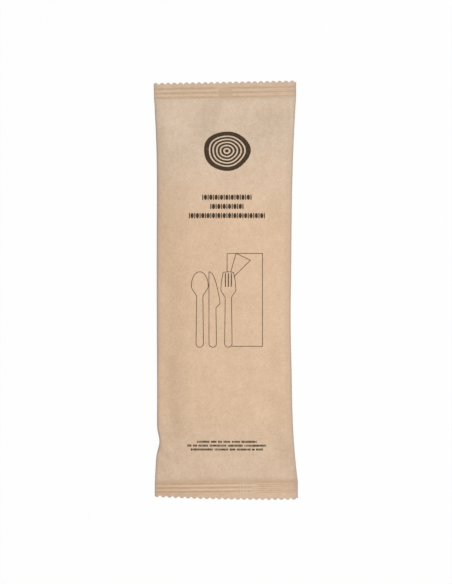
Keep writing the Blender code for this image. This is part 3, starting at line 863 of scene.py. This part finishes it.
def cutleryOutline(x, leftWidth, rightWidth):  # from two half widths at each depth below the tip
    steps = 64
    depths = [cutlery["length"] * (1.0 - math.cos(math.pi * i / steps)) / 2 for i in range(steps + 1)]
    tip = cutlery["foot"] + cutlery["length"]
    right = [(x + rightWidth(depth), tip - depth) for depth in depths]
    left = [(x - leftWidth(depth), tip - depth) for depth in depths[-2:0:-1]]
    return left + right


def handleSide(depth):  # slim at the neck, wider below, with a round foot
    foot = cutlery["handle"] / 2
    left = cutlery["length"] - depth
    if left < foot:
        return math.sqrt(max(foot ** 2 - (foot - left) ** 2, 0.0))
    return mix(cutlery["neck"] * foot, foot, depth / cutlery["length"])


def neckSide(depth, start, length, width):  # from a head's widest place to the handle, on an S
    share = clamp((depth - start) / length)
    return mix(width / 2, handleSide(depth), share ** 2 * (3.0 - 2.0 * share))


def spoonSide(depth):
    widest = cutlery["bowlWidest"] * cutlery["length"]
    if depth > widest:
        return neckSide(depth, widest, cutlery["bowlNeck"] * cutlery["length"], cutlery["spoon"])
    return cutlery["spoon"] / 2 * math.sqrt(1.0 - (1.0 - depth / widest) ** 2)


def forkSide(depth):
    widest = cutlery["headWidest"] * cutlery["length"]
    if depth > widest:
        return neckSide(depth, widest, cutlery["headNeck"] * cutlery["length"], cutlery["fork"])
    corner = math.sqrt(clamp(depth / 0.0004))
    flare = math.sin(math.pi / 2 * depth / widest)
    return corner * cutlery["fork"] / 2 * mix(cutlery["tips"], 1.0, flare)


def bladeSide(depth):  # the cutting side starts at the spine's tip and ends in a shoulder
    length = cutlery["blade"] * cutlery["length"]
    blade = cutlery["knife"] * clamp(depth / length) ** cutlery["bladeCurve"] - cutlery["handle"] / 2
    shoulder = 1.0 - clamp((depth - length) / cutlery["handle"])
    return max(blade * shoulder, handleSide(depth)) if depth > length / 2 else blade


def spineSide(depth):
    spine = cutlery["handle"] / 2
    return handleSide(depth) if cutlery["length"] - depth < spine else spine


def forkSlots(x):  # the three gaps between the tines
    length, width = cutlery["slot"] * cutlery["length"], cutlery["slotWidth"]
    top = cutlery["foot"] + cutlery["length"] - cutlery["slotFromTip"]
    slots = []
    for i in (-1, 0, 1):
        left = x + i * cutlery["fork"] / 5 - width / 2
        slots.append([[(left, top - length), (left + width, top - length), (left + width, top), (left, top)]])
    return slots


def napkinLines(left, forkX):  # its edge and its turned corner, both cut off where the fork covers them
    top = cutlery["foot"] + napkin["length"]
    foot = cutlery["foot"] + cutlery["handle"] / 8
    right = left + napkin["width"]
    tines = cutlery["foot"] + cutlery["length"]
    handleEdge = forkX + cutlery["handle"] * 0.45
    sheet = [(left, tines), (left, top), (right, top), (right, foot), (handleEdge, foot)]
    fold = (left + napkin["foldAt"], top)
    tip = (left + napkin["foldAt"] + napkin["foldReach"], top - napkin["foldDrop"])
    depth = napkin["meetsFork"] * cutlery["length"]
    meets = (forkX + forkSide(depth), tines - depth)
    behind = (forkX + cutlery["fork"] / 6, tines)
    return [stroke(sheet, closed=False), stroke([behind, fold, tip, meets], closed=False)]


def cutleryDrawing():
    gap, spoon, knife, fork = (cutlery[name] for name in ("gap", "spoon", "knife", "fork"))
    total = spoon + knife + fork / 2 + 2.0 * gap + napkin["width"] - napkin["underFork"]
    spoonX = printing["middle"] - total / 2 + spoon / 2
    knifeX = spoonX + spoon / 2 + gap + cutlery["handle"] / 2
    forkX = knifeX - cutlery["handle"] / 2 + knife + gap + fork / 2
    return [
        stroke(cutleryOutline(spoonX, spoonSide, spoonSide)),
        stroke(cutleryOutline(knifeX, spineSide, bladeSide)),
        stroke(cutleryOutline(forkX, forkSide, forkSide)),
        *forkSlots(forkX),
        *napkinLines(forkX - napkin["underFork"], forkX),
    ]


printShapes("ink_drawing", cutleryDrawing())


# three rows of short upright ticks, in groups, above the bottom seal

tickRows = {
    "fromSeal": 0.0185,  # to the middle of the last row
    "Row Pitch": 0.0022,
    "Tick Pitch": 0.00078,
    "Tick Width": 0.00056,
    "Tick Height": 0.00120,
    "Space Share": 0.13,  # of the ticks, left out
    "Row 1 Width": 0.0400,  # the lowest row
    "Row 2 Width": 0.0440,
    "Row 3 Width": 0.0324,
    "Seed": 3,
    "smallest": (0.8, 0.82, 1.0),  # the ticks differ in width and height between these shares
    "largest": (1.35, 1.05, 1.0),
}


def tickRowsTree():
    tree = geometryTree("tickRows")
    paperObject, inkSize, material = inkInputs(tree)
    middleX = tree.input("Middle X", 0.0)
    lastY = tree.input("Last Y", 0.0)
    size = tree.inputs(tickRows)
    pitch, seed = size["Tick Pitch"], size["Seed"]
    tick = tree.node("GeometryNodeCurvePrimitiveQuadrilateral", {"mode": "RECTANGLE"},
                     {"Width": size["Tick Width"], "Height": size["Tick Height"]})
    index = tree.node("GeometryNodeInputIndex")
    stamps = []
    for row in range(3):
        count = tree.mathNode("ROUND", size[f"Row {row + 1} Width"] / pitch)
        start = tree.vector(middleX - count * pitch * 0.5, lastY + size["Row Pitch"] * row)
        line = tree.node("GeometryNodeMeshLine", None, {
            "Count": count + 1, "Start Location": start, "Offset": tree.vector(pitch, 0.0)})
        number = index + row * 100  # so that the rows differ

        # a tick is left out here and there, but never two together or at a row's ends
        chosen, before = (tree.node(
            "FunctionNodeRandomValue", {"data_type": "FLOAT"},
            {"ID": number - back, "Seed": seed}, 1).math("LESS_THAN", size["Space Share"]) for back in (0, 1))
        inner = abs(index - count * 0.5).math("LESS_THAN", count * 0.5 - 1.5)
        spaced = tree.node("GeometryNodeDeleteGeometry", {"domain": "POINT"}, {
            "Geometry": line, "Selection": chosen * (1.0 - before) * inner})
        stretch = tree.node("FunctionNodeRandomValue", {"data_type": "FLOAT_VECTOR"}, {
            0: tickRows["smallest"], 1: tickRows["largest"], "ID": number, "Seed": seed + 1}, 0)
        stamps.append(tree.node("GeometryNodeInstanceOnPoints", None, {
            "Points": spaced, "Instance": tick, "Scale": stretch}))
    joined = tree.node("GeometryNodeJoinGeometry", None, {"Geometry": stamps})
    curves = tree.node("GeometryNodeRealizeInstances", None, {"Geometry": joined})
    tree.finishGeometry(layInk(tree, curves, 0, paperObject, inkSize), material)
    return tree


placeInk(newObject("ink_tick_rows", bpy.data.meshes.new("ink_tick_rows")), tickRowsTree(), {
    **tickRows, "Middle X": printing["middle"], "Last Y": bottomSealLine + tickRows["fromSeal"]})


# floor, light and camera

studio = {
    "floor": (0.82, 0.82, 0.82),
    "floorReach": 4.0,
    "floorGlow": 0.96,  # share of plain white that the camera sees in the floor
    "world": 0.30,
    "lamp": 3.68,
    "lampPlace": (0.17, 0.0, 0.70),
    "lampSize": 0.36,
    "pixel": 0.0005634,  # one pixel of the picture at the height of the seals
    "pictureRows": 584,
    "aim": (0.0003, -0.0011),  # x and y under the middle of the picture
    "lens": 100.0,
    "sensor": 36.0,
}


def whiteShare(tree):  # 1 where floor or world is seen, mirrored or seen through, 0 where it lights the pack
    seen, glossy, through = tree.node("ShaderNodeLightPath", None, None, (
        "Is Camera Ray", "Is Glossy Ray", "Is Transmission Ray"))
    return seen.math("MAXIMUM", glossy).math("MAXIMUM", through)


def studioFloor():
    mesh = bpy.data.meshes.new("floor")
    reach = studio["floorReach"]
    corners = [(-reach, -reach, 0.0), (reach, -reach, 0.0), (reach, reach, 0.0), (-reach, reach, 0.0)]
    mesh.from_pydata(corners, [], [(0, 1, 2, 3)])
    material, tree = newMaterial("whiteFloor")
    lit = tree.node("ShaderNodeBsdfDiffuse", None, {"Color": (*studio["floor"], 1.0)})
    glow = tree.node("ShaderNodeEmission", None, {"Strength": 1.0})
    shader = tree.node("ShaderNodeMixShader", None, {
        0: whiteShare(tree) * studio["floorGlow"], 1: lit, 2: glow})
    tree.node("ShaderNodeOutputMaterial", None, {"Surface": shader})
    mesh.materials.append(material)
    newObject("floor", mesh)


def studioWorld():
    world = bpy.data.worlds.new("studio")
    world.use_nodes = True
    world.node_tree.nodes.clear()
    tree = Tree(world.node_tree)
    shader = tree.node("ShaderNodeBackground", None, {
        "Color": (1.0, 1.0, 1.0, 1.0), "Strength": mix(studio["world"], 1.0, whiteShare(tree))})
    tree.node("ShaderNodeOutputWorld", None, {"Surface": shader})
    bpy.context.scene.world = world


def softLamp():  # a round lamp, aimed at the pack's middle
    lamp = bpy.data.lights.new("softLamp", "AREA")
    lamp.shape = "DISK"
    lamp.size = studio["lampSize"]
    lamp.energy = studio["lamp"]
    obj = newObject("softLamp", lamp)
    obj.visible_camera = False
    obj.location = studio["lampPlace"]
    obj.rotation_euler = (-Vector(studio["lampPlace"])).to_track_quat("-Z", "Y").to_euler()


def photoCamera():
    camera = bpy.data.cameras.new("camera")
    camera.lens = studio["lens"]
    camera.sensor_width = studio["sensor"]
    camera.clip_end = 20.0
    distance = studio["pictureRows"] * studio["pixel"] * studio["lens"] / studio["sensor"]
    obj = newObject("camera", camera)
    obj.location = (*studio["aim"], sleeve["Seal Level"] + distance)
    bpy.context.scene.camera = obj


studioFloor()
studioWorld()
softLamp()
photoCamera()
bpy.context.scene.view_settings.view_transform = "Standard"
print("studio made")
